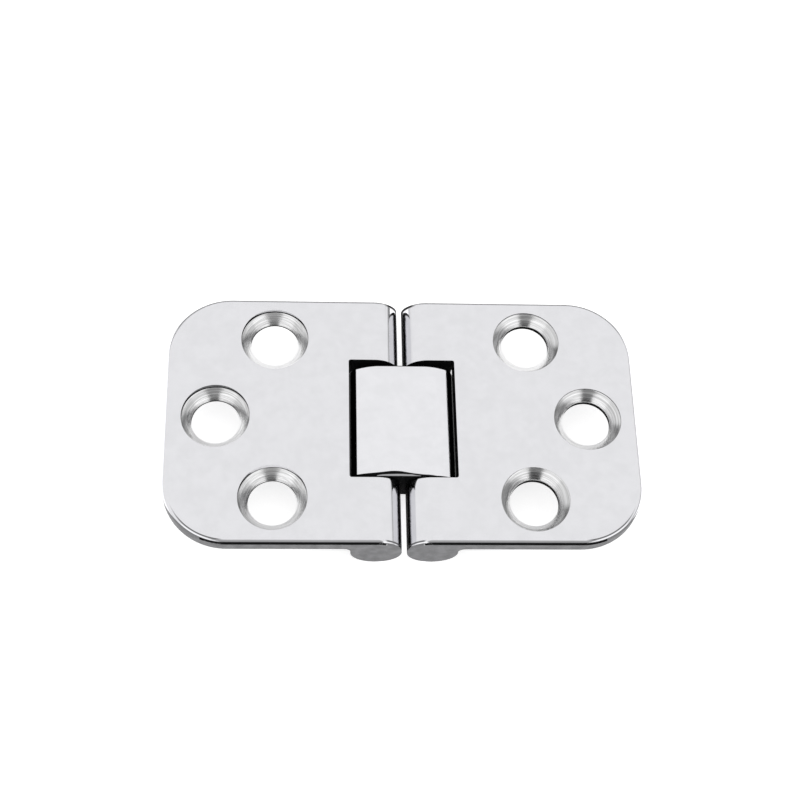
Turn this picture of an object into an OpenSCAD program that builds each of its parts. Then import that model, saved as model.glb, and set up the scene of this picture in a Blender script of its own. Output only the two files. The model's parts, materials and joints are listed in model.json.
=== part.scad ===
// Flush table hinge: two cast leaves fold up about their own pins on a link between them.
// The pins lie along Y. Z = 0 is the underside of the knuckles, and X = 0 is midway between the pins.

/* [Leaves] */
// Length of the open hinge, from the end of one leaf to the end of the other
open_length = 66; // [62:1:90]
// Width of the hinge, along its pins
hinge_width = 37.4; // [35:0.2:50]
// Thickness of a leaf's plate
plate_t = 2.2; // [1.8:0.1:2.8]
// Radius of a leaf's two outer corners, seen from above
corner_r = 9; // [4:0.5:10]
// Radius of the polished rounding along a leaf's top edge
edge_r = 0.7; // [0.3:0.1:1]

/* [Knuckles] */
// Diameter of the knuckles, which is also the height of the hinge
knuckle_d = 7; // [6:0.2:8]
// Gap between the knuckles of the two leaves
knuckle_gap = 0.7; // [0.4:0.1:1.4]
// Radius of the fillet between a knuckle and the plate's underside
web_r = 1; // [0.6:0.1:1.6]
// Drop of the ring that fades the top edge's rounding out round a knuckle
rim_fade = 0.5; // [0.5:0.05:0.8]
// Radius of the cast corners of the window that the link sits in
window_corner_r = 0.3; // [0.1:0.05:0.4]

/* [Link] */
// Width of the link, along the pins
link_width = 17.8; // [14:0.2:20]
// Running gap between the link and each side of the window
link_side_gap = 0.15; // [0.1:0.05:0.4]
// Running gap between the link's round ends and the ends of the window
link_end_gap = 0.15; // [0.1:0.05:0.4]
// Radius of the polished rounding along the link's edges
link_edge_r = 0.4; // [0.2:0.05:0.6]

/* [Pins] */
// Diameter of a pin
pin_d = 3; // [2:0.1:3.6]
// Radial clearance between a pin and its bore in the link
pin_clearance = 0.05; // [0.02:0.01:0.1]
// Metal left over the blind end of a pin's bore
blind_cover = 3; // [1:0.5:5]
// Chamfer on the ends of a pin
pin_chamfer = 0.2; // [0.1:0.05:0.4]

/* [Screw holes] */
// Diameter of a screw hole at the underside of a plate
hole_d = 6.8; // [6:0.1:7.4]
// Diameter of a countersink at the top of a plate
sink_d = 9.5; // [8.6:0.1:10.2]
// Included angle of a countersink
sink_angle = 90; // [82:1:100]
// Depth of the straight lip above a countersink's cone
sink_lip = 0.3; // [0.1:0.05:0.6]
// Distance from the end of a leaf to its outer hole
outer_hole_in = 7; // [6:0.5:8]
// Distance from the end of a leaf to its pair of holes
pair_in = 15.05; // [14.5:0.05:17]
// Distance from the side of a leaf to each hole of its pair
pair_side_in = 6.55; // [6:0.05:7]

/* [Hidden] */

// Room that a cutter takes beyond the surface that it cuts
past = 1;
// Facets on large and on small rounds
$fn = 96;
small_fn = 48;

half_length = open_length / 2;
half_width = hinge_width / 2;
knuckle_r = knuckle_d / 2;
pin_r = pin_d / 2;
pin_x = knuckle_r + knuckle_gap / 2;
pin_z = knuckle_r;
leaf_top = knuckle_d;
plate_bottom = leaf_top - plate_t;
link_half = link_width / 2;
window_half = link_half + link_side_gap;
window_end = pin_x + knuckle_r + link_end_gap;
ear_length = half_width - window_half;
hole_r = hole_d / 2;
sink_r = sink_d / 2;
sink_depth = (sink_r - hole_r) / tan(sink_angle / 2);
outer_hole_x = half_length - outer_hole_in;
pair_x = half_length - pair_in;
pair_y = half_width - pair_side_in;

// Centre of the web's fillet, seen from the pin: it touches the plate's underside and the knuckle
web_rise = plate_bottom - web_r - pin_z;
web_reach = sqrt(pow(knuckle_r + web_r, 2) - pow(web_rise, 2));

// The waste outside a rounded corner of radius r, with the corner's point at the origin
module corner_waste(r) {
    difference() {
        translate([-r, -r]) square(r + past);
        translate([-r, -r]) circle(r = r, $fn = small_fn);
    }
}

// The web between a knuckle and its plate, seen along the pin
module web_section() {
    difference() {
        polygon([[0, 0],
                 [web_reach, web_rise],
                 [web_reach, web_rise + web_r],
                 [0, web_rise + web_r]]);
        translate([web_reach, web_rise]) circle(r = web_r, $fn = small_fn);
    }
}

// One ear of a leaf: its knuckle and web, from y = 0 towards +Y
module ear() {
    translate([pin_x, ear_length, pin_z])
        rotate([90, 0, 0]) {
            cylinder(r = knuckle_r, h = ear_length);
            linear_extrude(ear_length) web_section();
        }
}

// The flat plate of a leaf, with square edges
module plate() {
    translate([pin_x, -half_width, plate_bottom])
        cube([half_length - pin_x, hinge_width, plate_t]);
}

// The waste outside one outer corner of a leaf and above its rounded top edge
module outer_corner_waste() {
    translate([half_length, half_width, plate_bottom - past])
        linear_extrude(plate_t + 2 * past) corner_waste(corner_r);
    translate([half_length - corner_r, half_width - corner_r, leaf_top])
        rotate_extrude(angle = 90) translate([corner_r, 0]) corner_waste(edge_r);
}

// The waste above the rounded top edge along one side of a leaf
module side_edge_waste() {
    translate([pin_x, half_width, leaf_top])
        rotate([90, 0, 90])
            linear_extrude(half_length - corner_r - pin_x) corner_waste(edge_r);
}

// The waste above the rounded top edge along the end of a leaf
module end_edge_waste() {
    translate([half_length, half_width - corner_r, leaf_top])
        rotate([90, 0, 0])
            linear_extrude(hinge_width - 2 * corner_r) corner_waste(edge_r);
}

// The waste round the outer end of a knuckle, where the top edge's rounding fades out
module knuckle_rim_waste() {
    translate([pin_x, half_width, pin_z - rim_fade])
        rotate([-90, 0, 0])
            rotate([0, 0, -90])
                rotate_extrude(angle = -180)
                    translate([knuckle_r + rim_fade, 0]) corner_waste(edge_r);
}

// All that is trimmed from the edges of a leaf
module edge_waste() {
    end_edge_waste();
    for (side = [0, 1])
        mirror([0, side, 0]) {
            outer_corner_waste();
            side_edge_waste();
            knuckle_rim_waste();
        }
}

// A screw hole through a plate: a straight land, the countersink's cone and its straight lip
module screw_hole() {
    translate([0, 0, plate_bottom - past])
        cylinder(r = hole_r, h = plate_t + 2 * past);
    translate([0, 0, leaf_top - sink_lip - sink_depth])
        cylinder(r1 = hole_r, r2 = sink_r, h = sink_depth);
    translate([0, 0, leaf_top - sink_lip])
        cylinder(r = sink_r, h = sink_lip + past);
}

// The right half of the window, with cast corners at its closed end
module window() {
    translate([0, 0, -past])
        linear_extrude(leaf_top + 2 * past)
            difference() {
                translate([0, -window_half]) square([window_end, 2 * window_half]);
                for (side = [0, 1])
                    mirror([0, side]) translate([window_end, window_half]) corner_waste(window_corner_r);
            }
}

// The three screw holes of a leaf
module screw_holes() {
    translate([outer_hole_x, 0, 0]) screw_hole();
    for (side = [-1, 1])
        translate([pair_x, side * pair_y, 0]) screw_hole();
}

// The right leaf, with its window open towards the link
module leaf() {
    difference() {
        union() {
            plate();
            for (side = [0, 1])
                mirror([0, side, 0]) translate([0, window_half, 0]) ear();
        }
        window();
        translate([pin_x, half_width + past, pin_z])
            rotate([90, 0, 0])
                cylinder(r = pin_r, h = hinge_width - blind_cover + past, $fn = small_fn);
        screw_holes();
        edge_waste();
    }
}

// A pin, from its blind end to the back edge of its leaf
module pin() {
    length = hinge_width - blind_cover;
    translate([pin_x, blind_cover - half_width, pin_z])
        rotate([-90, 0, 0])
            rotate_extrude($fn = small_fn)
                polygon([[0, 0],
                         [pin_r - pin_chamfer, 0],
                         [pin_r, pin_chamfer],
                         [pin_r, length - pin_chamfer],
                         [pin_r - pin_chamfer, length],
                         [0, length]]);
}

// The section of the link along its pins: a bar with rounded edges, from its middle to its side
module link_section() {
    difference() {
        translate([0, -link_half]) square([knuckle_r, link_width]);
        for (side = [0, 1])
            mirror([0, side]) translate([knuckle_r, link_half]) corner_waste(link_edge_r);
    }
}

// The right half of the link, from X = 0 to its round end
module half_link() {
    translate([pin_x, 0, pin_z])
        rotate([-90, 0, 0])
            rotate([0, 0, -90]) rotate_extrude(angle = 180) link_section();
    for (up = [0, 1])
        translate([0, 0, pin_z]) mirror([0, 0, up])
            rotate([0, 90, 0]) rotate([0, 0, 180]) linear_extrude(pin_x) link_section();
}

module left_leaf() {
    color("silver") mirror([1, 0, 0]) leaf();
}

module right_leaf() {
    color("silver") leaf();
}

module link() {
    color("gainsboro")
        difference() {
            for (side = [0, 1])
                mirror([side, 0, 0]) half_link();
            for (side = [-1, 1])
                translate([side * pin_x, link_half + past, pin_z])
                    rotate([90, 0, 0])
                        cylinder(r = pin_r + pin_clearance, h = link_width + 2 * past, $fn = small_fn);
        }
}

module left_pin() {
    color("darkgray") mirror([1, 0, 0]) pin();
}

module right_pin() {
    color("darkgray") pin();
}

left_leaf();
right_leaf();
link();
left_pin();
right_pin();
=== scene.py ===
"""Dresses a flush table hinge: polished leaves with machined screw holes, a link and two pins.

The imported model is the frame. Every size is in metres, in the frame's own coordinates.
"""

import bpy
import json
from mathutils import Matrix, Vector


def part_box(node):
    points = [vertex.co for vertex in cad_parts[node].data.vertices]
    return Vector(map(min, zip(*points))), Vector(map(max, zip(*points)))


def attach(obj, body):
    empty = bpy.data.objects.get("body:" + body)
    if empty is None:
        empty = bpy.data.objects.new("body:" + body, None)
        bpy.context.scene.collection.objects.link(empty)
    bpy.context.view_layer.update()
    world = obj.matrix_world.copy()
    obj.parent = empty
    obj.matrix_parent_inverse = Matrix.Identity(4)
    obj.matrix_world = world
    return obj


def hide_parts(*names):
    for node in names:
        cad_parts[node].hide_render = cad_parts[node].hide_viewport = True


bl_info = {
    "name": "Table Hinge",
    "version": (1, 0, 0),
    "blender": (4, 5, 0),
    "location": "View3D > Sidebar > Hinge",
    "description": "Builds a flush table hinge's polished pieces on its frame, in a pale studio",
    "category": "Object",
}

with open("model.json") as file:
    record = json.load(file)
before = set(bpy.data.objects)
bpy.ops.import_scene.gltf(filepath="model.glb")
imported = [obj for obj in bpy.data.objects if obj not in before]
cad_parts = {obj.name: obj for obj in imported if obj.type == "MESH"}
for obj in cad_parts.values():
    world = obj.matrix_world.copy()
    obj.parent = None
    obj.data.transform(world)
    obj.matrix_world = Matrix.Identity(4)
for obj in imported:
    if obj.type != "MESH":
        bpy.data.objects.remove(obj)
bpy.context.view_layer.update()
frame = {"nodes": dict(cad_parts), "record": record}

import json
import math

import bmesh
import bpy
from bpy.props import FloatProperty, FloatVectorProperty, IntProperty, PointerProperty
from mathutils import Matrix, Vector

MM = 0.001
SIDES = {"left": -1, "right": 1}


# What the frame says

def mount(name):
    """The frame's mount of that name."""
    return next(m for m in frame["record"]["mounts"] if m["name"] == name)


def joint(name):
    """The frame's joint of that name."""
    return next(j for j in frame["record"]["behaviour"]["joints"] if j["name"] == name)


LEAF_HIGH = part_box("right_leaf")[1]
LINK_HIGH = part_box("link")[1]
LEAF_TOP = LEAF_HIGH[2]
HALF_LENGTH = LEAF_HIGH[0]
HALF_WIDTH = LEAF_HIGH[1]
PLATE_BOTTOM = mount("right_underside")["pos_m"][2]
OUTER_X = mount("right_outer_screw")["pos_m"][0]
PAIR_X = mount("right_screw_pair")["pos_m"][0]
PAIR_Y = mount("right_screw_pair")["dims"]["spacing_y_mm"] * MM / 2
HOLE_RADIUS = mount("right_outer_screw")["dims"]["r_mm"] * MM
PIN_X = joint("right_fold")["pos_m"][0]
PIN_Z = joint("right_fold")["pos_m"][2]
KNUCKLE_RADIUS = LEAF_TOP - PIN_Z
LINK_END = LINK_HIGH[0]
LINK_HALF = LINK_HIGH[1]
PIN_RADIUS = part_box("right_pin")[1][2] - PIN_Z

# The window is a running gap larger than the link
RUNNING_GAP = 0.15 * MM
WINDOW_END = LINK_END + RUNNING_GAP
WINDOW_HALF = LINK_HALF + RUNNING_GAP

# Slack with which a face's place is compared with a surface
NEAR = 0.02 * MM

# How far in from the outline the leaf's top edge starts to round over
EDGE_BAND = 0.72 * MM

# How far past the pin's line, towards the other leaf, a leaf's front edge keeps its near-black
# painted shade
KNUCKLE_SHARE = 1.3 * MM

# Slope of a knuckle's flank past which it gets near-black painted shade
FLANK_SLOPE = math.radians(71)


def hole_places(side):
    """Where the three screw holes of that side's leaf lie."""
    return [(side * OUTER_X, 0.0), (side * PAIR_X, PAIR_Y), (side * PAIR_X, -PAIR_Y)]


# Sizes and colours that a user would change

class HingeHoleSettings(bpy.types.PropertyGroup):
    rim_radius: FloatProperty(
        name="Rim radius", description="Radius of a countersink at the polished face",
        default=4.75 * MM, unit="LENGTH", precision=5)
    lip_depth: FloatProperty(
        name="Lip depth", description="Straight lip above a countersink's cone on the right leaf",
        default=0.15 * MM, unit="LENGTH", precision=5)
    deeper_left: FloatProperty(
        name="Deeper left", description="How much deeper the left leaf's countersinks are cut",
        default=0.3 * MM, unit="LENGTH", precision=5)
    plunge_spread: FloatProperty(
        name="Plunge spread",
        description="How far the cutter's depth strays from one hole to the next",
        default=0.05 * MM, unit="LENGTH", precision=5)
    lean: FloatProperty(
        name="Lean",
        description="Lean of the cutter on the left leaf, which deepens the far side of its holes",
        default=math.radians(4.0), subtype="ANGLE")
    tilt: FloatProperty(
        name="Tilt", description="Largest stray of the cutter from its lean",
        default=math.radians(0.8), subtype="ANGLE")
    belling: FloatProperty(
        name="Belling", description="How much a countersink's cone steepens towards its hole",
        default=0.18, min=0, max=0.6)
    groove_depth: FloatProperty(
        name="Groove depth", description="Depth of the cutter's turning marks",
        default=0.0014 * MM, unit="LENGTH", precision=6)
    groove_pitch: FloatProperty(
        name="Groove pitch", description="Spacing of the turning marks down the cone",
        default=0.17 * MM, unit="LENGTH", precision=5)
    sides: IntProperty(
        name="Sides", description="Steps round a screw hole", default=120, min=24)
    seed: IntProperty(
        name="Seed", description="Seed of the cutter's small strays", default=4)


class HingeLeafSettings(bpy.types.PropertyGroup):
    corner_radius: FloatProperty(
        name="Corner radius", description="Radius of a leaf's outer corners, seen from above",
        default=9 * MM, unit="LENGTH", precision=5)
    edge_radius: FloatProperty(
        name="Edge radius", description="Radius of the rounding along a leaf's top edge",
        default=0.7 * MM, unit="LENGTH", precision=5)
    window_draft: FloatProperty(
        name="Window draft",
        description="How far the foot of the window's end wall leans in, as cast",
        default=0.15 * MM, unit="LENGTH", precision=5)
    edge_break: FloatProperty(
        name="Edge break", description="Width of the softened arris on cut edges",
        default=0.07 * MM, unit="LENGTH", precision=5)


class HingeLinkSettings(bpy.types.PropertyGroup):
    edge_radius: FloatProperty(
        name="Edge radius", description="Radius of the link's rounded side edges",
        default=0.45 * MM, unit="LENGTH", precision=5)
    bore_clearance: FloatProperty(
        name="Bore clearance", description="Radial clearance between a pin and its bore",
        default=0.05 * MM, unit="LENGTH", precision=5)
    shorter_front: FloatProperty(
        name="Shorter front",
        description="How far the link's front face stays inside the frame's solid",
        default=0.1 * MM, unit="LENGTH", precision=5)
    shorter_back: FloatProperty(
        name="Shorter back",
        description="How far the link's back face stays inside the frame's solid",
        default=0.6 * MM, unit="LENGTH", precision=5)
    # The worn front edge is painted in near-black shade, but for its bright facet
    shaded_worn_width: FloatProperty(
        name="Worn width", description="Width of the worn front edge of the link's top",
        default=0.1 * MM, unit="LENGTH", precision=5)
    worn_more: FloatProperty(
        name="Worn more", description="How much wider the wear is where it is widest",
        default=0.6 * MM, unit="LENGTH", precision=5)
    worn_left: FloatProperty(
        name="Worn left", description="How much wider the wear is towards the left end",
        default=0.4 * MM, unit="LENGTH", precision=5)
    worn_centre: FloatProperty(
        name="Worn centre", description="Place of the widest wear along the edge",
        default=-1.2 * MM, unit="LENGTH", precision=5)
    worn_reach: FloatProperty(
        name="Worn reach", description="How far the widest wear runs along the edge",
        default=2.6 * MM, unit="LENGTH", precision=5)
    facet_width: FloatProperty(
        name="Facet width", description="Width of the bright facet within the worn edge",
        default=0.25 * MM, unit="LENGTH", precision=5)
    steps: IntProperty(
        name="Steps",
        description="Steps along the link's top, and round each of its ends", default=40, min=8)


class HingeFinishSettings(bpy.types.PropertyGroup):
    polished: FloatVectorProperty(
        name="Polished", description="Colour of the polished faces",
        default=(0.787, 0.787, 0.81), size=3, subtype="COLOR", min=0, max=1)
    turned: FloatVectorProperty(
        name="Turned", description="Colour of the machined countersinks",
        default=(0.78, 0.78, 0.785), size=3, subtype="COLOR", min=0, max=1)
    # Near-black painted shade: it stands in for the dark shade that the steel reflects on hole and
    # window walls, knuckle flanks, leaf roundings and the link's worn edge and ends
    cast: FloatVectorProperty(
        name="Cast",
        description="Colour of the dark cast skin that the polishing wheel can't reach",
        default=(0.005, 0.005, 0.0053), size=3, subtype="COLOR", min=0, max=1)
    matt: FloatVectorProperty(
        name="Matt", description="Colour of the matt cast edges",
        default=(0.2, 0.2, 0.206), size=3, subtype="COLOR", min=0, max=1)
    ground: FloatVectorProperty(
        name="Ground", description="Colour of the ground pins",
        default=(0.6, 0.6, 0.61), size=3, subtype="COLOR", min=0, max=1)


class HingeStageSettings(bpy.types.PropertyGroup):
    camera_place: FloatVectorProperty(
        name="Camera place", description="Where the camera stands", size=3, unit="LENGTH",
        default=(-14.68 * MM, -92.26 * MM, 199.53 * MM), precision=5)
    camera_tilt: FloatProperty(
        name="Camera tilt", description="How far the camera looks down", subtype="ANGLE",
        default=math.radians(63.486))
    camera_yaw: FloatProperty(
        name="Camera yaw", description="Turn of the camera to the right of +Y", subtype="ANGLE",
        default=math.radians(8.581))
    camera_roll: FloatProperty(
        name="Camera roll", description="Roll of the camera about its own axis", subtype="ANGLE",
        default=math.radians(8.193))
    camera_lens: FloatProperty(
        name="Camera lens", description="Focal length on a 36 mm sensor, in millimetres",
        default=69.12)
    floor_size: FloatProperty(
        name="Floor size", description="Side of the square floor", default=1.2, unit="LENGTH")


# Nodes

class Wire:
    """A node's output that can be used in an expression. Each operation adds its Math node."""

    def __init__(self, tree, socket):
        self.tree = tree
        self.socket = socket

    def out(self, name):
        """Another output of the same node."""
        return Wire(self.tree, find_socket(self.socket.node.outputs, name))

    def math(self, operation, *others):
        inputs = dict(enumerate([self, *others]))
        return self.tree.add("ShaderNodeMath", {"operation": operation}, inputs)

    def profile(self, stops):
        """A value that runs straight from stop to stop, each a place from 0 to 1 and its value."""
        return self.tree.add("ShaderNodeFloatCurve", {"mapping": stops}, {"Value": self})

    def __add__(self, other):
        return self.math("ADD", other)

    def __radd__(self, other):
        return self.math("ADD", other)

    def __sub__(self, other):
        return self.math("SUBTRACT", other)

    def __rsub__(self, other):
        return self.tree.add("ShaderNodeMath", {"operation": "SUBTRACT"}, {0: other, 1: self})

    def __mul__(self, other):
        return self.math("MULTIPLY", other)

    def __rmul__(self, other):
        return self.math("MULTIPLY", other)

    def __truediv__(self, other):
        return self.math("DIVIDE", other)

    def __gt__(self, other):
        return self.math("GREATER_THAN", other)

    def __lt__(self, other):
        return self.math("LESS_THAN", other)

    def __abs__(self):
        return self.math("ABSOLUTE")

    def lowest(self, other):
        return self.math("MINIMUM", other)

    def highest(self, other):
        return self.math("MAXIMUM", other)

    def sine(self):
        return self.math("SINE")

    def root(self):
        return self.math("SQRT")

    def ramp(self, low, high):
        """0 at low and 1 at high, smooth between them."""
        return self.tree.add("ShaderNodeMapRange", {"interpolation_type": "SMOOTHSTEP"},
                             {"Value": self, "From Min": low, "From Max": high})


def find_socket(sockets, key):
    """The socket with that place, identifier or name."""
    if isinstance(key, int):
        return sockets[key]
    for socket in sockets:
        if socket.identifier == key:
            return socket
    return sockets[key]


def draw_curve(mapping, stops):
    """Draws a curve of straight stretches through those stops."""
    curve = mapping.curves[0]
    while len(curve.points) < len(stops):
        curve.points.new(0.5, 0.5)
    for point, (place, value) in zip(curve.points, stops):
        point.location = (place, value)
        point.handle_type = "VECTOR"
    mapping.update()


class Tree:
    """A node tree that is written as expressions."""

    def __init__(self, nodes_of):
        self.data = nodes_of
        self.data.nodes.clear()

    def add(self, kind, settings=None, inputs=None):
        """A node of that kind: its settings are made first, then its inputs' values or links."""
        node = self.data.nodes.new(kind)
        for name, value in (settings or {}).items():
            if name == "mapping":
                draw_curve(node.mapping, value)
            else:
                setattr(node, name, value)
        for key, value in (inputs or {}).items():
            socket = find_socket(node.inputs, key)
            if isinstance(value, Wire):
                self.data.links.new(value.socket, socket)
            elif value is not None:
                socket.default_value = value
        outputs = [s for s in node.outputs if s.enabled]
        return Wire(self, outputs[0]) if outputs else node

    def split(self, vector):
        """The X, Y and Z of a vector."""
        x = self.add("ShaderNodeSeparateXYZ", None, {0: vector})
        return x, x.out("Y"), x.out("Z")

    def join(self, x, y, z):
        """A vector of three values."""
        return self.add("ShaderNodeCombineXYZ", None, {0: x, 1: y, 2: z})

    def mix(self, share, first, second):
        """A colour that goes from the first to the second as share goes from 0 to 1."""
        return self.add("ShaderNodeMix", {"data_type": "RGBA"},
                        {"Factor_Float": share, "A_Color": first, "B_Color": second})

    def noise(self, vector, scale, detail=2.0, roughness=0.5):
        """A noise value round 0.5. Scale is in cells per unit of the vector."""
        inputs = {"Vector": vector, "Scale": scale, "Detail": detail, "Roughness": roughness}
        return self.add("ShaderNodeTexNoise", None, inputs)

    def scaled(self, vector, factor):
        """The vector times a number."""
        return self.add("ShaderNodeVectorMath", {"operation": "SCALE"},
                        {"Vector": vector, "Scale": factor})


# Materials

def rgba(colour, factor=1.0):
    """The colour, lightened or darkened by the factor, as a socket takes it."""
    return (*(min(1.0, c * factor) for c in colour), 1.0)


def steel(name, build, metallic=1.0, specular=0.5):
    """A metal. Its colour, roughness, height and bump strength come from build(tree, place).

    The place that it is given is in millimetres.
    """
    material = bpy.data.materials.new(name)
    material.use_nodes = True
    tree = Tree(material.node_tree)
    place = tree.scaled(tree.add("ShaderNodeTexCoord").out("Object"), 1 / MM)
    colour, roughness, height, strength = build(tree, place)
    normal = tree.add("ShaderNodeBump", None,
                      {"Height": height, "Strength": strength, "Distance": MM})
    shader = tree.add("ShaderNodeBsdfPrincipled", None,
                      {"Base Color": colour, "Metallic": metallic, "Roughness": roughness,
                       "Normal": normal, "Specular IOR Level": specular})
    tree.add("ShaderNodeOutputMaterial", None, {"Surface": shader})
    return material


def rounding(x, y, end):
    """How a place in millimetres lies on a leaf's top edge, towards that end of Y.

    It gives the reach in X past a corner's start, how far the edge has tipped over, from 0 to 1,
    and the share of its direction that points at that end.
    """
    leaf = bpy.context.scene.hinge_leaf
    corner, edge = leaf.corner_radius / MM, leaf.edge_radius / MM
    beyond_x = (abs(x) - (HALF_LENGTH / MM - corner)).highest(0)
    beyond_y = (y * end - (HALF_WIDTH / MM - corner)).highest(0.01)
    reach = (beyond_x * beyond_x + beyond_y * beyond_y).root()
    return beyond_x, (reach - (corner - edge)) / edge, beyond_y / reach


def painted_front_shade(x, y):
    """1 on the two thin lines of painted shade along the front rounding of a leaf.

    They run round its outer corners and its knuckle, and thin out towards the leaf's end.
    """
    beyond_x, tipped, towards = rounding(x, y, -1)
    frontal = towards.ramp(0.3, 0.75)
    on_knuckle = 1 - abs(x).ramp(PIN_X / MM - 1.5, PIN_X / MM - 1.0)
    upper = 0.17 + (0.24 + 0.08 * on_knuckle) * frontal
    upper_line = tipped.ramp(0.12, 0.2) * (1 - tipped.ramp(upper - 0.06, upper + 0.06)) * frontal
    lower_line = (tipped + 0.32 * frontal).ramp(0.96, 1.04)
    there = beyond_x.ramp(0.3, 1.5).highest(on_knuckle)
    return upper_line.highest(lower_line) * there


def painted_back_shade(x, y):
    """1 on the line of painted shade along a leaf's back rounding, and 1 where it turns down the
    knuckle, which gets near-black painted shade.
    """
    beyond_x, tipped, towards = rounding(x, y, 1)
    line = tipped.ramp(0.25, 0.5) * towards.ramp(0.2, 0.6)
    return line, tipped.ramp(0.0, 0.25) * (1 - abs(x).ramp(1.5, 2.4))


def polished_steel(name, colour, cast, shade_from, shade_to, matt=None):
    """Mirror-polished steel: faint buffing waves, hairlines and smears.

    A near-black painted shade sets in as |x| goes between its two given bounds, in millimetres.
    Where a matt colour is given, thin lines of painted shade in that colour lie along a leaf's
    front and back roundings, and near-black painted shade where the back rounding turns down the
    knuckle.
    """
    def build(tree, place):
        x, y, z = tree.split(place)
        waves = tree.noise(place, 0.16, 2.0)
        hairlines = tree.noise(tree.join(x * 0.35, y * 9, z * 9), 1.0, 3.0, 0.6)
        smears = tree.noise(place, 0.5, 4.0, 0.6)
        tint = tree.mix(smears.ramp(0.3, 0.7), rgba(colour, 0.955), rgba(colour))
        ragged = tree.noise(place, 2.6, 3.0, 0.7) - 0.5
        # Near-black painted shade past the bounds in |x|, with more roughness there
        painted_shade_share = (abs(x) + 0.22 * ragged).ramp(shade_from, shade_to)
        roughness = 0.09 + 0.05 * smears + 0.05 * hairlines.ramp(0.5, 0.8) + 0.4 * painted_shade_share
        height = waves * 0.05 + hairlines * 0.0006 + painted_shade_share * ragged * 0.05
        shown = tree.mix(painted_shade_share, tint, rgba(cast))
        if matt:
            # Painted shade: thin front lines in the matt colour
            rims = painted_front_shade(x, y)
            shown = tree.mix(rims, shown, rgba(matt, 0.9))
            # Painted shade: the back line in the matt colour, and near-black where it turns down
            # the knuckle
            line, flank = painted_back_shade(x, y)
            shown = tree.mix(line * 0.75, shown, rgba(matt))
            shown = tree.mix(flank, shown, rgba(cast))
            roughness = roughness + 0.35 * rims.highest(line).highest(flank)
        return shown, roughness, height, 0.35
    return steel(name, build)


def turned_steel(name, colour, side):
    """Steel cut by a countersink: fine rings round each hole, with chatter."""
    def build(tree, place):
        x, y, z = tree.split(place)
        nearest = None
        for centre_x, centre_y in hole_places(side):
            dx = x - centre_x / MM
            dy = y - centre_y / MM
            reach = (dx * dx + dy * dy).root()
            nearest = reach if nearest is None else nearest.lowest(reach)
        rings = tree.noise(tree.join(nearest * 6, z * 6, x * 0.12), 1.0, 4.0, 0.7)
        chatter = tree.noise(place, 0.9, 3.0, 0.6)
        tint = tree.mix(rings.ramp(0.35, 0.65), rgba(colour, 0.62), rgba(colour))
        roughness = 0.1 + 0.1 * rings + 0.05 * chatter
        height = rings * 0.03 + chatter * 0.01
        return tint, roughness, height, 0.4
    return steel(name, build)


def painted_shade_steel(name, colour):
    """Near-black painted shade: a fine sandy grain, with worn specks."""
    def build(tree, place):
        grain = tree.noise(place, 6.0, 4.0, 0.7)
        wear_and_shade = tree.noise(place, 3.5, 2.0, 0.6).ramp(0.66, 0.78)
        tint = tree.mix(grain.ramp(0.3, 0.7), rgba(colour, 0.5), rgba(colour, 1.6))
        shown = tree.mix(wear_and_shade * 0.35, tint, rgba(colour, 6))
        return shown, 0.65 + 0.15 * grain, grain * 0.04, 0.6
    return steel(name, build, metallic=0.0, specular=0.04)


def matt_steel(name, colour):
    """Blasted steel on the cast edges: an even grain with a few bright specks."""
    def build(tree, place):
        grain = tree.noise(place, 7.0, 4.0, 0.65)
        broad = tree.noise(place, 0.7, 2.0)
        specks = tree.noise(place, 11.0, 1.0).ramp(0.68, 0.8)
        base = tree.mix(broad.ramp(0.3, 0.7), rgba(colour, 0.85), rgba(colour, 1.15))
        tint = tree.mix(specks * 0.5, base, rgba(colour, 2.2))
        return tint, 0.5 + 0.12 * grain, grain * 0.05, 0.6
    return steel(name, build)


def ground_steel(name, colour):
    """Ground rod: fine marks round the rod and faint scratches."""
    def build(tree, place):
        x, y, z = tree.split(place)
        marks = tree.noise(tree.join(x * 0.3, y * 12, z * 0.3), 1.0, 3.0, 0.6)
        tint = tree.mix(marks.ramp(0.3, 0.7), rgba(colour, 0.85), rgba(colour))
        return tint, 0.2 + 0.15 * marks, marks * 0.01, 0.4
    return steel(name, build)


# Meshes

def new_object(name, mesh):
    piece = bpy.data.objects.new(name, mesh)
    bpy.context.scene.collection.objects.link(piece)
    return piece


def mesh_from(shape, name):
    """A mesh of that shape, which is then freed."""
    mesh = bpy.data.meshes.new(name)
    shape.to_mesh(mesh)
    shape.free()
    return mesh


def applied(piece):
    """The piece with its modifiers made part of its mesh."""
    bpy.context.view_layer.update()
    graph = bpy.context.evaluated_depsgraph_get()
    mesh = bpy.data.meshes.new_from_object(piece.evaluated_get(graph))
    mesh.name = piece.name
    old = piece.data
    piece.modifiers.clear()
    piece.data = mesh
    bpy.data.meshes.remove(old)
    return piece


def set_input(modifier, name, value):
    """Sets the modifier's input of that name, by its socket's identifier."""
    for item in modifier.node_group.interface.items_tree:
        if item.item_type == "SOCKET" and item.in_out == "INPUT" and item.name == name:
            modifier[item.identifier] = value
            return
    raise RuntimeError("the tree has no input called " + name)


# How far from the window's corners its end wall starts to lean
CORNER_CLEAR = 0.2 * MM


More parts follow.
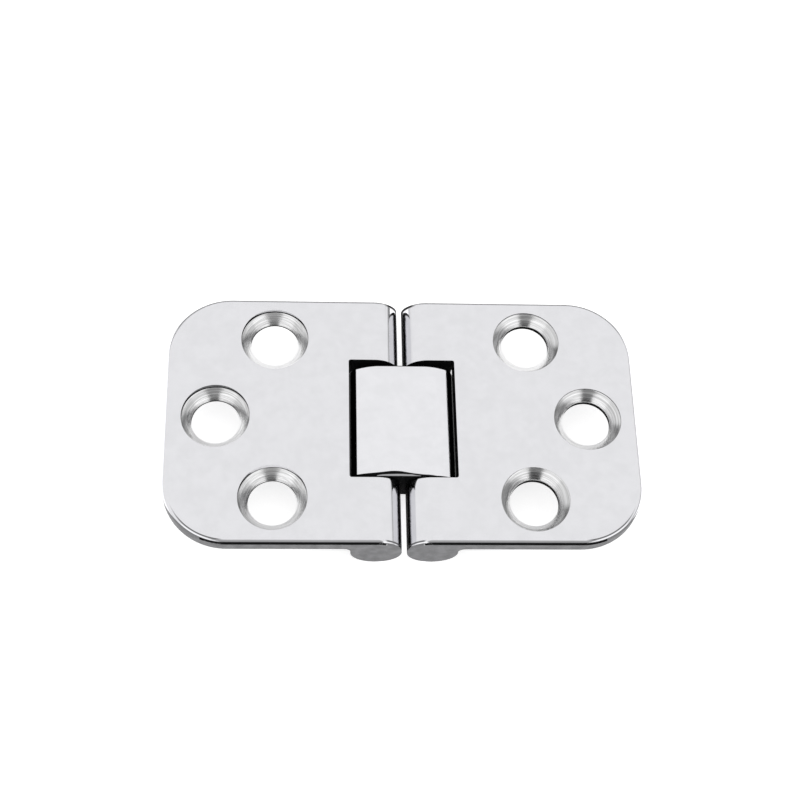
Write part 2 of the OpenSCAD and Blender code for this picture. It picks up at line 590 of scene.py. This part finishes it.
def frame_blank(node, holes):
    """A merged mesh of a frame node: its round holes at those centres are filled flush.

    The foot of the window's end wall moves in by the casting's draft.
    """
    shape = bmesh.new()
    shape.from_mesh(frame["nodes"][node].data)
    bmesh.ops.remove_doubles(shape, verts=shape.verts, dist=0.0005 * MM)
    rim = bpy.context.scene.hinge_holes.rim_radius
    inside = []
    for face in shape.faces:
        centre = face.calc_center_median()
        for x, y in holes:
            near = math.hypot(centre.x - x, centre.y - y) < rim
            if near and abs(face.normal.z) < 0.99:
                inside.append(face)
    bmesh.ops.delete(shape, geom=inside, context="FACES")
    open_edges = [e for e in shape.edges if e.is_boundary]
    bmesh.ops.holes_fill(shape, edges=open_edges, sides=0)
    loose = [v for v in shape.verts if not v.link_faces]
    bmesh.ops.delete(shape, geom=loose, context="VERTS")
    draft = bpy.context.scene.hinge_leaf.window_draft
    for point in shape.verts:
        x, y, z = point.co
        at_foot = abs(abs(x) - WINDOW_END) < NEAR and abs(z - PLATE_BOTTOM) < NEAR
        if at_foot and abs(y) < WINDOW_HALF - CORNER_CLEAR:
            point.co.x -= math.copysign(draft, x)
    bmesh.ops.recalc_face_normals(shape, faces=shape.faces)
    bmesh.ops.dissolve_limit(shape, angle_limit=math.radians(0.3), verts=shape.verts,
                             edges=shape.edges)
    return mesh_from(shape, node + "_blank")


# The cutter of the screw holes

def screw_hole_tree(material):
    """A tree that cuts three countersunk holes, each with its lip, cone, land and turning marks."""
    group = bpy.data.node_groups.new("screw_holes", "GeometryNodeTree")
    sizes = ("Outer X", "Pair X", "Pair Y", "Rim Radius", "Hole Radius", "Top", "Underside",
             "Lip Depth", "Plunge Spread", "Lean", "Tilt", "Belling", "Groove Depth",
             "Groove Pitch")
    group.interface.new_socket("Geometry", in_out="INPUT", socket_type="NodeSocketGeometry")
    for name in sizes:
        group.interface.new_socket(name, in_out="INPUT", socket_type="NodeSocketFloat")
    for name in ("Sides", "Seed"):
        group.interface.new_socket(name, in_out="INPUT", socket_type="NodeSocketInt")
    group.interface.new_socket("Geometry", in_out="OUTPUT", socket_type="NodeSocketGeometry")
    tree = Tree(group)
    given = tree.add("NodeGroupInput")
    value = {name: given.out(name) for name in sizes}

    # A cylinder of many rings, whose rings are then drawn in to the hole's section
    past = 1.0 * MM
    rings = 90
    height = value["Top"] - value["Underside"] + 2 * past
    tube = tree.add("GeometryNodeMeshCylinder", None,
                    {"Vertices": given.out("Sides"), "Side Segments": rings, "Radius": 1.0,
                     "Depth": height})
    x, y, z = tree.split(tree.add("GeometryNodeInputPosition"))
    cone_depth = value["Rim Radius"] - value["Hole Radius"]
    below_lip = 0 - (z - (height / 2 - past)) - value["Lip Depth"]
    down = (below_lip / cone_depth).highest(0).lowest(1)
    cone = cone_depth * (down + value["Belling"] * down * (1 - down))
    on_cone = (below_lip > 0) * (below_lip < cone_depth)
    marks = (z * (math.tau / MM) / (value["Groove Pitch"] / MM)).sine() * value["Groove Depth"]
    radius = value["Rim Radius"] - cone + marks * on_cone
    shaped = tree.add("GeometryNodeSetPosition", None,
                      {"Geometry": tube, "Position": tree.join(x * radius, y * radius, z)})

    # Three places, each with its own small stray in depth and lean
    index = tree.add("GeometryNodeInputIndex")
    in_pair = index > 0.5
    place_x = value["Outer X"] + in_pair * (value["Pair X"] - value["Outer X"])
    place_y = in_pair * (index * 2 - 3) * value["Pair Y"]
    mid = (value["Top"] + value["Underside"]) / 2
    stray = tree.add("FunctionNodeRandomValue", {"data_type": "FLOAT"},
                     {"Min_001": value["Plunge Spread"] * -1, "Max_001": value["Plunge Spread"],
                      "Seed": given.out("Seed")})
    points = tree.add("GeometryNodePoints", None,
                      {"Count": 3, "Position": tree.join(place_x, place_y, mid + stray)})
    lean = tree.add("FunctionNodeRandomValue", {"data_type": "FLOAT_VECTOR"},
                    {"Min": (-1.0, -1.0, 0.0), "Max": (1.0, 1.0, 0.0),
                     "Seed": given.out("Seed")})
    turn = tree.add("ShaderNodeVectorMath", {"operation": "ADD"},
                    {0: tree.scaled(lean, value["Tilt"]), 1: tree.join(0 - value["Lean"], 0, 0)})
    cutters = tree.add("GeometryNodeInstanceOnPoints", None,
                       {"Points": points, "Instance": shaped, "Rotation": turn})
    loose = tree.add("GeometryNodeRealizeInstances", None, {"Geometry": cutters})
    cut = tree.add("GeometryNodeMeshBoolean", {"operation": "DIFFERENCE", "solver": "EXACT"},
                   {"Mesh 1": given.out("Geometry"), "Mesh 2": loose})
    whole = tree.add("GeometryNodeRealizeInstances", None, {"Geometry": cut})
    finished = tree.add("GeometryNodeSetMaterial", None, {"Geometry": whole, "Material": material})
    tree.add("NodeGroupOutput", None, {"Geometry": finished})
    return group


def drill(piece, group, side):
    """Cuts a leaf's three screw holes with the tree, and makes them part of its mesh."""
    holes = bpy.context.scene.hinge_holes
    on_left = side == SIDES["left"]
    inputs = {
        "Outer X": side * OUTER_X,
        "Pair X": side * PAIR_X,
        "Pair Y": PAIR_Y,
        "Rim Radius": holes.rim_radius,
        "Hole Radius": HOLE_RADIUS,
        "Top": LEAF_TOP,
        "Underside": PLATE_BOTTOM,
        "Lip Depth": holes.lip_depth + (holes.deeper_left if on_left else 0.0),
        "Plunge Spread": holes.plunge_spread,
        "Lean": holes.lean if on_left else 0.0,
        "Tilt": holes.tilt,
        "Belling": holes.belling,
        "Groove Depth": holes.groove_depth,
        "Groove Pitch": holes.groove_pitch,
        "Sides": holes.sides,
        "Seed": holes.seed + side,
    }
    modifier = piece.modifiers.new("screw_holes", "NODES")
    modifier.node_group = group
    for name, value in inputs.items():
        set_input(modifier, name, value)
    return applied(piece)


def soften(piece, width, angle):
    """Breaks the sharp edges, and shades flats flat and rounds round."""
    bevel = piece.modifiers.new("edge_break", "BEVEL")
    bevel.width = width
    bevel.segments = 2
    bevel.limit_method = "ANGLE"
    bevel.angle_limit = angle
    bevel.use_clamp_overlap = True
    applied(piece)
    piece.data.shade_smooth()
    even = piece.modifiers.new("even_normals", "WEIGHTED_NORMAL")
    even.mode = "FACE_AREA"
    even.weight = 80
    even.keep_sharp = False
    return applied(piece)


def finish_faces(piece, materials, choose):
    """Gives each face the material that choose(centre, normal) names."""
    mesh = piece.data
    mesh.materials.clear()
    names = list(materials)
    for name in names:
        mesh.materials.append(materials[name])
    for face in mesh.polygons:
        face.material_index = names.index(choose(face.center, face.normal))


# The link

# Turns of an edge's rounding, from a side face to the top
EDGE_TURNS = [math.radians(turn) for turn in (90, 75, 60, 45, 30, 15, 0)]

# Where the link's top starts to fall towards its ends, where it ends in an arris, and the drop
TOP_FALLS = 3.2 * MM
TOP_ENDS = 6.45 * MM
TOP_DROP = 0.88 * MM

# How sharply that fall steepens, and the last short stretch that keeps the arris crisp
TOP_STEEPENS = 1.7
ARRIS_STRETCH = 0.03 * MM

# How far the link's ends stand out past the knuckles' own round
END_PROUD = 0.15 * MM

# Steps round a pin's bore
BORE_SIDES = 64

# The bright facet on the worn edge: how far in it starts, its slope, its lowest drop, and its
# middle and reach along the edge
FACET_START = 0.05 * MM
FACET_SLOPE = math.tan(math.radians(22))
FACET_DROP = 0.26 * MM
FACET_MIDDLE = -0.75 * MM
FACET_REACH = 3.1 * MM


def link_faces():
    """Where the link's front and back faces lie."""
    link = bpy.context.scene.hinge_link
    return link.shorter_front - LINK_HALF, LINK_HALF - link.shorter_back


def shaded_worn_width(x):
    """Width of the worn front edge of the link's top, at x, which is painted in near-black shade
    but for its facet.
    """
    link = bpy.context.scene.hinge_link
    away = (x - link.worn_centre) / link.worn_reach
    leftward = 1 / (1 + math.exp((x / MM + 4.2) / 0.8))
    return link.shaded_worn_width + link.worn_more * math.exp(-away * away) + link.worn_left * leftward


def facet_width(x):
    """Width of the bright facet within the worn edge, at x."""
    away = (x - FACET_MIDDLE) / FACET_REACH
    return bpy.context.scene.hinge_link.facet_width * math.sqrt(max(0.0, 1 - away * away))


def worn_line(x):
    """How far in from the front face, and how far down, each line of the worn edge lies."""
    wide = shaded_worn_width(x)
    facet_end = min(FACET_START + facet_width(x), 0.7 * wide)
    rise = FACET_DROP - (facet_end - FACET_START) * FACET_SLOPE
    beyond = wide - facet_end
    return [(0.0, FACET_DROP + 0.06 * MM), (FACET_START, FACET_DROP), (facet_end, rise),
            (facet_end + 0.4 * beyond, rise * 0.6), (facet_end + 0.8 * beyond, rise * 0.2),
            (wide, 0.01 * MM), (wide + 0.15 * MM, 0.0)]


def link_half_outline(steps):
    """The right half of the link's outline seen along the pins, from mid-top to mid-foot."""
    points = []
    across_top = [TOP_ENDS * step / steps for step in range(steps)]
    for x in across_top + [TOP_ENDS - ARRIS_STRETCH, TOP_ENDS]:
        fallen = max(0.0, (x - TOP_FALLS) / (TOP_ENDS - TOP_FALLS)) ** TOP_STEEPENS
        points.append((x, LEAF_TOP - TOP_DROP * fallen))
    across, up = points[-1][0] - PIN_X, points[-1][1] - PIN_Z
    arris_turn, arris_reach = math.atan2(up, across), math.hypot(across, up)
    for step in range(1, steps):
        turn = arris_turn * (1 - step / (steps // 2))
        if turn < -math.pi / 2:
            break
        reach = KNUCKLE_RADIUS + END_PROUD
        if turn > 0:
            reach += (arris_reach - reach) * turn / arris_turn
        else:
            reach += END_PROUD * turn / (math.pi / 2)
        points.append((PIN_X + reach * math.cos(turn), PIN_Z + reach * math.sin(turn)))
    return points + [(PIN_X * (1 - step / 4), PIN_Z - KNUCKLE_RADIUS) for step in range(5)]


def link_outline(steps):
    """The link's outline seen along the pins: places all round, each with its outward way."""
    right = link_half_outline(steps)
    loop = right + [(-x, z) for x, z in reversed(right[1:-1])]
    places = []
    for index, (x, z) in enumerate(loop):
        (before_x, before_z), (after_x, after_z) = loop[index - 1], loop[(index + 1) % len(loop)]
        out = Vector((before_z - after_z, 0, after_x - before_x)).normalized()
        places.append((Vector((x, 0, z)), out))
    return places


def link_ring(place, out):
    """One line across the link, from its front face to its back face."""
    radius = bpy.context.scene.hinge_link.edge_radius
    front_face, back_face = link_faces()
    rounded = [(radius * (1 - math.sin(turn)), radius * (1 - math.cos(turn)))
               for turn in EDGE_TURNS]
    share = min(1.0, max(0.0, out.z * 3))
    front = [(a + (b - a) * share, c + (d - c) * share)
             for (a, c), (b, d) in zip(rounded, worn_line(place.x))]
    line = [place - out * drop + Vector((0, front_face + inward, 0)) for inward, drop in front]
    line += [place - out * drop + Vector((0, back_face - inward, 0))
             for inward, drop in reversed(rounded)]
    return line


def link_body():
    """The link as one closed mesh, without its bores."""
    shape = bmesh.new()
    rings = [[shape.verts.new(p) for p in link_ring(place, out)]
             for place, out in link_outline(bpy.context.scene.hinge_link.steps)]
    for ring, after in zip(rings, rings[1:] + rings[:1]):
        for index in range(len(ring) - 1):
            shape.faces.new((ring[index], ring[index + 1], after[index + 1], after[index]))
    shape.faces.new([ring[0] for ring in rings])
    shape.faces.new([ring[-1] for ring in rings])
    bmesh.ops.recalc_face_normals(shape, faces=shape.faces)
    return mesh_from(shape, "link_body")


def bore_link(piece):
    """Bores the link for its two pins."""
    radius = PIN_RADIUS + bpy.context.scene.hinge_link.bore_clearance
    shape = bmesh.new()
    for side in SIDES.values():
        along_pin = Matrix.Rotation(math.radians(90), 4, "X")
        bmesh.ops.create_cone(shape, cap_ends=True, segments=BORE_SIDES, radius1=radius,
                              radius2=radius, depth=4 * LINK_HALF,
                              matrix=Matrix.Translation((side * PIN_X, 0, PIN_Z)) @ along_pin)
    mesh = mesh_from(shape, "link_bores")
    cutter = new_object("link_bores", mesh)
    cut = piece.modifiers.new("bores", "BOOLEAN")
    cut.operation = "DIFFERENCE"
    cut.solver = "EXACT"
    cut.object = cutter
    applied(piece)
    bpy.data.objects.remove(cutter)
    bpy.data.meshes.remove(mesh)


# Which finish a face has

def leaf_finish(centre, normal, holes):
    """The finish of a leaf's face, from its centre and normal. Holes are the leaf's screw holes."""
    near_rim = bpy.context.scene.hinge_holes.rim_radius * 1.01
    if any(math.hypot(centre.x - x, centre.y - y) < near_rim for x, y in holes):
        # The upright lip and land of a screw hole get near-black painted shade
        upright = abs(normal.z) < 0.3
        if upright:
            return "cast"
        if LEAF_TOP - centre.z > NEAR and centre.z - PLATE_BOTTOM > NEAR / 2:
            return "turned"
    # The window's walls get near-black painted shade
    in_window = abs(centre.x) < WINDOW_END + NEAR and abs(centre.y) < WINDOW_HALF + NEAR
    if in_window and abs(normal.z) < 0.9:
        return "cast"
    under_plate = centre.z < PLATE_BOTTOM + 5 * NEAR
    if under_plate and abs(normal.y) < 0.5:
        return "matt" if abs(centre.x) > PIN_X else "polished"
    outer = abs(centre.y) > HALF_WIDTH - EDGE_BAND or abs(centre.x) > HALF_LENGTH * 0.7
    if outer and abs(normal.z) < 0.2:
        return "matt"
    # The steep front rounding of the plate gets near-black painted shade
    on_plate = outer and abs(centre.x) > PIN_X - KNUCKLE_SHARE
    straight = -normal.y > 0.92 * math.hypot(normal.x, normal.y)
    tipped = normal.z < 0.6
    return "cast" if straight and on_plate and tipped else "polished"


def link_finish(centre, normal):
    """The finish of a face of the link, from its centre and normal."""
    in_bore = any(math.hypot(centre.x - side * PIN_X, centre.z - PIN_Z) < PIN_RADIUS * 1.1
                  for side in SIDES.values())
    if in_bore and abs(normal.y) < 0.9:
        return "polished"
    if centre.z < PIN_Z and abs(normal.y) < 0.7:
        return "matt"
    front_face, back_face = link_faces()
    inward = centre.y - front_face
    on_facet = FACET_START < inward < FACET_START + facet_width(centre.x) and normal.z > 0.5
    back_rounding = back_face - bpy.context.scene.hinge_link.edge_radius * 0.6
    # The worn front edge, but for its facet, and the back rounding get near-black painted shade
    wear_and_shade = inward < shaded_worn_width(centre.x) or centre.y > back_rounding
    return "cast" if wear_and_shade and not on_facet else "polished"


# Operators

class HINGE_OT_leaves(bpy.types.Operator):
    """Builds both leaves, with their screw holes and finishes"""
    bl_idname = "hinge.leaves"
    bl_label = "Build leaves"

    def execute(self, context):
        finish = context.scene.hinge_finish
        # The knuckles' inner flanks, past FLANK_SLOPE, get near-black painted shade
        flank = (PIN_X - KNUCKLE_RADIUS * math.sin(FLANK_SLOPE)) / MM
        polished = polished_steel("leaf_polish", finish.polished, finish.cast,
                                  flank + 0.1, flank - 0.1, finish.matt)
        matt = matt_steel("leaf_matt_edge", finish.matt)
        cast = painted_shade_steel("leaf_cast_skin", finish.cast)
        group = screw_hole_tree(polished)
        for name, side in SIDES.items():
            node = name + "_leaf"
            holes = hole_places(side)
            piece = new_object(node + "_polished", frame_blank(node, holes))
            drill(piece, group, side)
            soften(piece, width=context.scene.hinge_leaf.edge_break, angle=math.radians(28))
            turned = turned_steel(name + "_countersink", finish.turned, side)
            finishes = {"polished": polished, "turned": turned, "matt": matt, "cast": cast}
            finish_faces(piece, finishes, lambda centre, normal: leaf_finish(centre, normal, holes))
            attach(piece, node)
            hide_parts(node)
        return {"FINISHED"}


class HINGE_OT_link(bpy.types.Operator):
    """Builds the link between the pins, with its worn front edge; that edge, its back rounding and
    its ends get near-black painted shade
    """
    bl_idname = "hinge.link"
    bl_label = "Build link"

    def execute(self, context):
        finish = context.scene.hinge_finish
        piece = new_object("link_polished", link_body())
        bore_link(piece)
        soften(piece, width=0.03 * MM, angle=math.radians(75))
        # Past the arris at the top's ends, the link gets near-black painted shade
        polish_end = TOP_ENDS / MM
        bright = rgba(finish.polished, 1.05)[:3]
        finishes = {
            "polished": polished_steel("link_polish", bright, finish.cast,
                                       polish_end - 0.05, polish_end + 0.1),
            "cast": painted_shade_steel("link_cast_skin", finish.cast),
            "matt": matt_steel("link_matt_underside", finish.matt),
        }
        finish_faces(piece, finishes, link_finish)
        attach(piece, "link")
        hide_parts("link")
        return {"FINISHED"}


class HINGE_OT_pins(bpy.types.Operator):
    """Gives the two pins their ground finish"""
    bl_idname = "hinge.pins"
    bl_label = "Finish pins"

    def execute(self, context):
        ground = ground_steel("pin_ground", context.scene.hinge_finish.ground)
        for name in SIDES:
            pin = frame["nodes"][name + "_pin"]
            for slot in pin.material_slots:
                slot.material = ground
        return {"FINISHED"}


class HINGE_OT_stage(bpy.types.Operator):
    """Builds the floor, the light and the camera"""
    bl_idname = "hinge.stage"
    bl_label = "Build stage"

    def execute(self, context):
        stage = context.scene.hinge_stage
        build_floor(stage.floor_size)
        build_world(context.scene)
        build_camera(context.scene, stage)
        context.scene.view_settings.view_transform = "Standard"
        return {"FINISHED"}


# How far the floor lies under the hinge, and the glow that makes it white
FLOOR_DROP = 0.05 * MM
FLOOR_GLOW = 0.7


def build_floor(size):
    """A pale floor that glows to white for the camera and in reflections, and keeps its shadow."""
    shape = bmesh.new()
    just_below = Matrix.Translation((0, 0, -FLOOR_DROP))
    bmesh.ops.create_grid(shape, x_segments=1, y_segments=1, size=size / 2, matrix=just_below)
    mesh = mesh_from(shape, "floor")
    floor = new_object("floor", mesh)
    material = bpy.data.materials.new("floor_white")
    material.use_nodes = True
    tree = Tree(material.node_tree)
    rays = tree.add("ShaderNodeLightPath")
    seen = rays.highest(rays.out("Is Glossy Ray")).highest(rays.out("Is Transmission Ray"))
    cloth = tree.add("ShaderNodeBsdfDiffuse", None, {"Color": (0.8, 0.8, 0.8, 1.0)})
    glow = tree.add("ShaderNodeEmission", None,
                    {"Color": (1.0, 1.0, 1.0, 1.0), "Strength": seen * FLOOR_GLOW})
    both = tree.add("ShaderNodeAddShader", None, {0: cloth, 1: glow})
    tree.add("ShaderNodeOutputMaterial", None, {"Surface": both})
    mesh.materials.append(material)


# Light of the tent by height, from the horizon at 0 to overhead at 1
TENT = ((0.0, 0.55), (0.06, 0.85), (0.14, 1.0), (1.0, 1.0))

# Light of the dark slot in front of the hinge, where the camera stands
SLOT = ((0.0, 0.01), (0.27, 0.015), (0.42, 0.15), (0.6, 0.48),
        (0.75, 0.4), (0.93, 0.52), (1.0, 0.98))

# Light that the two cards beside the slot add
CARDS = ((0.0, 0.9), (0.05, 1.0), (0.6, 1.0), (0.78, 0.0), (1.0, 0.0))
CARD_LIGHT = 0.3

# Turn of the slot from -Y towards +X
FRONT_TURN = math.radians(4)

# Strength at which the world is white for the camera
WHITE = 1.0

# How much the low dark places behind and to the right take from the tent's light
DIMMED = 0.85


def build_world(scene):
    """A white light tent with soft dark places that steel needs to show its form."""
    world = bpy.data.worlds.new("light_tent")
    world.use_nodes = True
    tree = Tree(world.node_tree)
    x, y, z = tree.split(tree.add("ShaderNodeTexCoord").out("Generated"))
    height = z.highest(0)
    front_x, front_y = -math.sin(FRONT_TURN), math.cos(FRONT_TURN)
    along = y * -front_y + x * -front_x
    across = abs(x * front_y - y * front_x)
    aside = across / along.highest(0.01)
    facing = along.ramp(0.0, 0.06)
    backdrop = (0 - along).ramp(0.5, 0.75) * (1 - z.ramp(0.18, 0.34))
    beside = x.ramp(0.55, 0.85) * (1 - z.ramp(0.1, 0.3))
    tent = height.profile(TENT) * (1 - DIMMED * backdrop) * (1 - DIMMED * beside)
    lit = tent + height.profile(CARDS) * CARD_LIGHT * facing * (1 - aside.ramp(2.2, 3.0))
    wider = 0.35 * z.ramp(0.5, 0.8)
    in_slot = facing * (1 - (aside - wider).ramp(0.27, 0.38))
    light = lit + (height.profile(SLOT) - lit) * in_slot
    rays = tree.add("ShaderNodeLightPath")
    strength = light + rays * (WHITE - light)
    background = tree.add("ShaderNodeBackground", None,
                          {"Color": (1.0, 1.0, 1.0, 1.0), "Strength": strength})
    tree.add("ShaderNodeOutputWorld", None, {"Surface": background})
    scene.world = world


# Width of the camera's sensor, in millimetres
SENSOR_WIDTH = 36.0


def build_camera(scene, stage):
    """The camera at the reference view."""
    yaw, tilt, roll = stage.camera_yaw, stage.camera_tilt, stage.camera_roll
    level = math.cos(tilt)
    forward = Vector((math.sin(yaw) * level, math.cos(yaw) * level, -math.sin(tilt)))
    right = Vector((math.cos(yaw), -math.sin(yaw), 0.0))
    up = right.cross(forward)
    rolled_right = math.cos(roll) * right + math.sin(roll) * up
    rolled_up = math.cos(roll) * up - math.sin(roll) * right
    turn = Matrix((rolled_right, rolled_up, -forward)).transposed().to_4x4()
    camera = bpy.data.objects.new("camera", bpy.data.cameras.new("camera"))
    camera.matrix_world = Matrix.Translation(stage.camera_place) @ turn
    camera.data.sensor_width = SENSOR_WIDTH
    camera.data.lens = stage.camera_lens
    camera.data.clip_start = 0.01
    camera.data.dof.use_dof = False
    scene.collection.objects.link(camera)
    scene.camera = camera


class HINGE_PT_panel(bpy.types.Panel):
    """Sizes, finishes and build steps of the table hinge"""
    bl_idname = "HINGE_PT_panel"
    bl_label = "Table Hinge"
    bl_space_type = "VIEW_3D"
    bl_region_type = "UI"
    bl_category = "Hinge"

    def draw(self, context):
        for settings in SETTINGS:
            box = self.layout.box()
            group = getattr(context.scene, settings)
            for name in SETTINGS[settings].__annotations__:
                box.prop(group, name)
        for operator in OPERATORS:
            self.layout.operator(operator.bl_idname)


SETTINGS = {
    "hinge_holes": HingeHoleSettings,
    "hinge_leaf": HingeLeafSettings,
    "hinge_link": HingeLinkSettings,
    "hinge_finish": HingeFinishSettings,
    "hinge_stage": HingeStageSettings,
}
OPERATORS = (HINGE_OT_stage, HINGE_OT_leaves, HINGE_OT_link, HINGE_OT_pins)


def register():
    for name, group in SETTINGS.items():
        bpy.utils.register_class(group)
        setattr(bpy.types.Scene, name, PointerProperty(type=group))
    for operator in OPERATORS:
        bpy.utils.register_class(operator)
    bpy.utils.register_class(HINGE_PT_panel)


def unregister():
    bpy.utils.unregister_class(HINGE_PT_panel)
    for operator in reversed(OPERATORS):
        bpy.utils.unregister_class(operator)
    for name, group in reversed(SETTINGS.items()):
        delattr(bpy.types.Scene, name)
        bpy.utils.unregister_class(group)


def main():
    register()
    bpy.ops.hinge.stage()
    bpy.ops.hinge.leaves()
    bpy.ops.hinge.link()
    bpy.ops.hinge.pins()


if __name__ == "__main__":
    main()
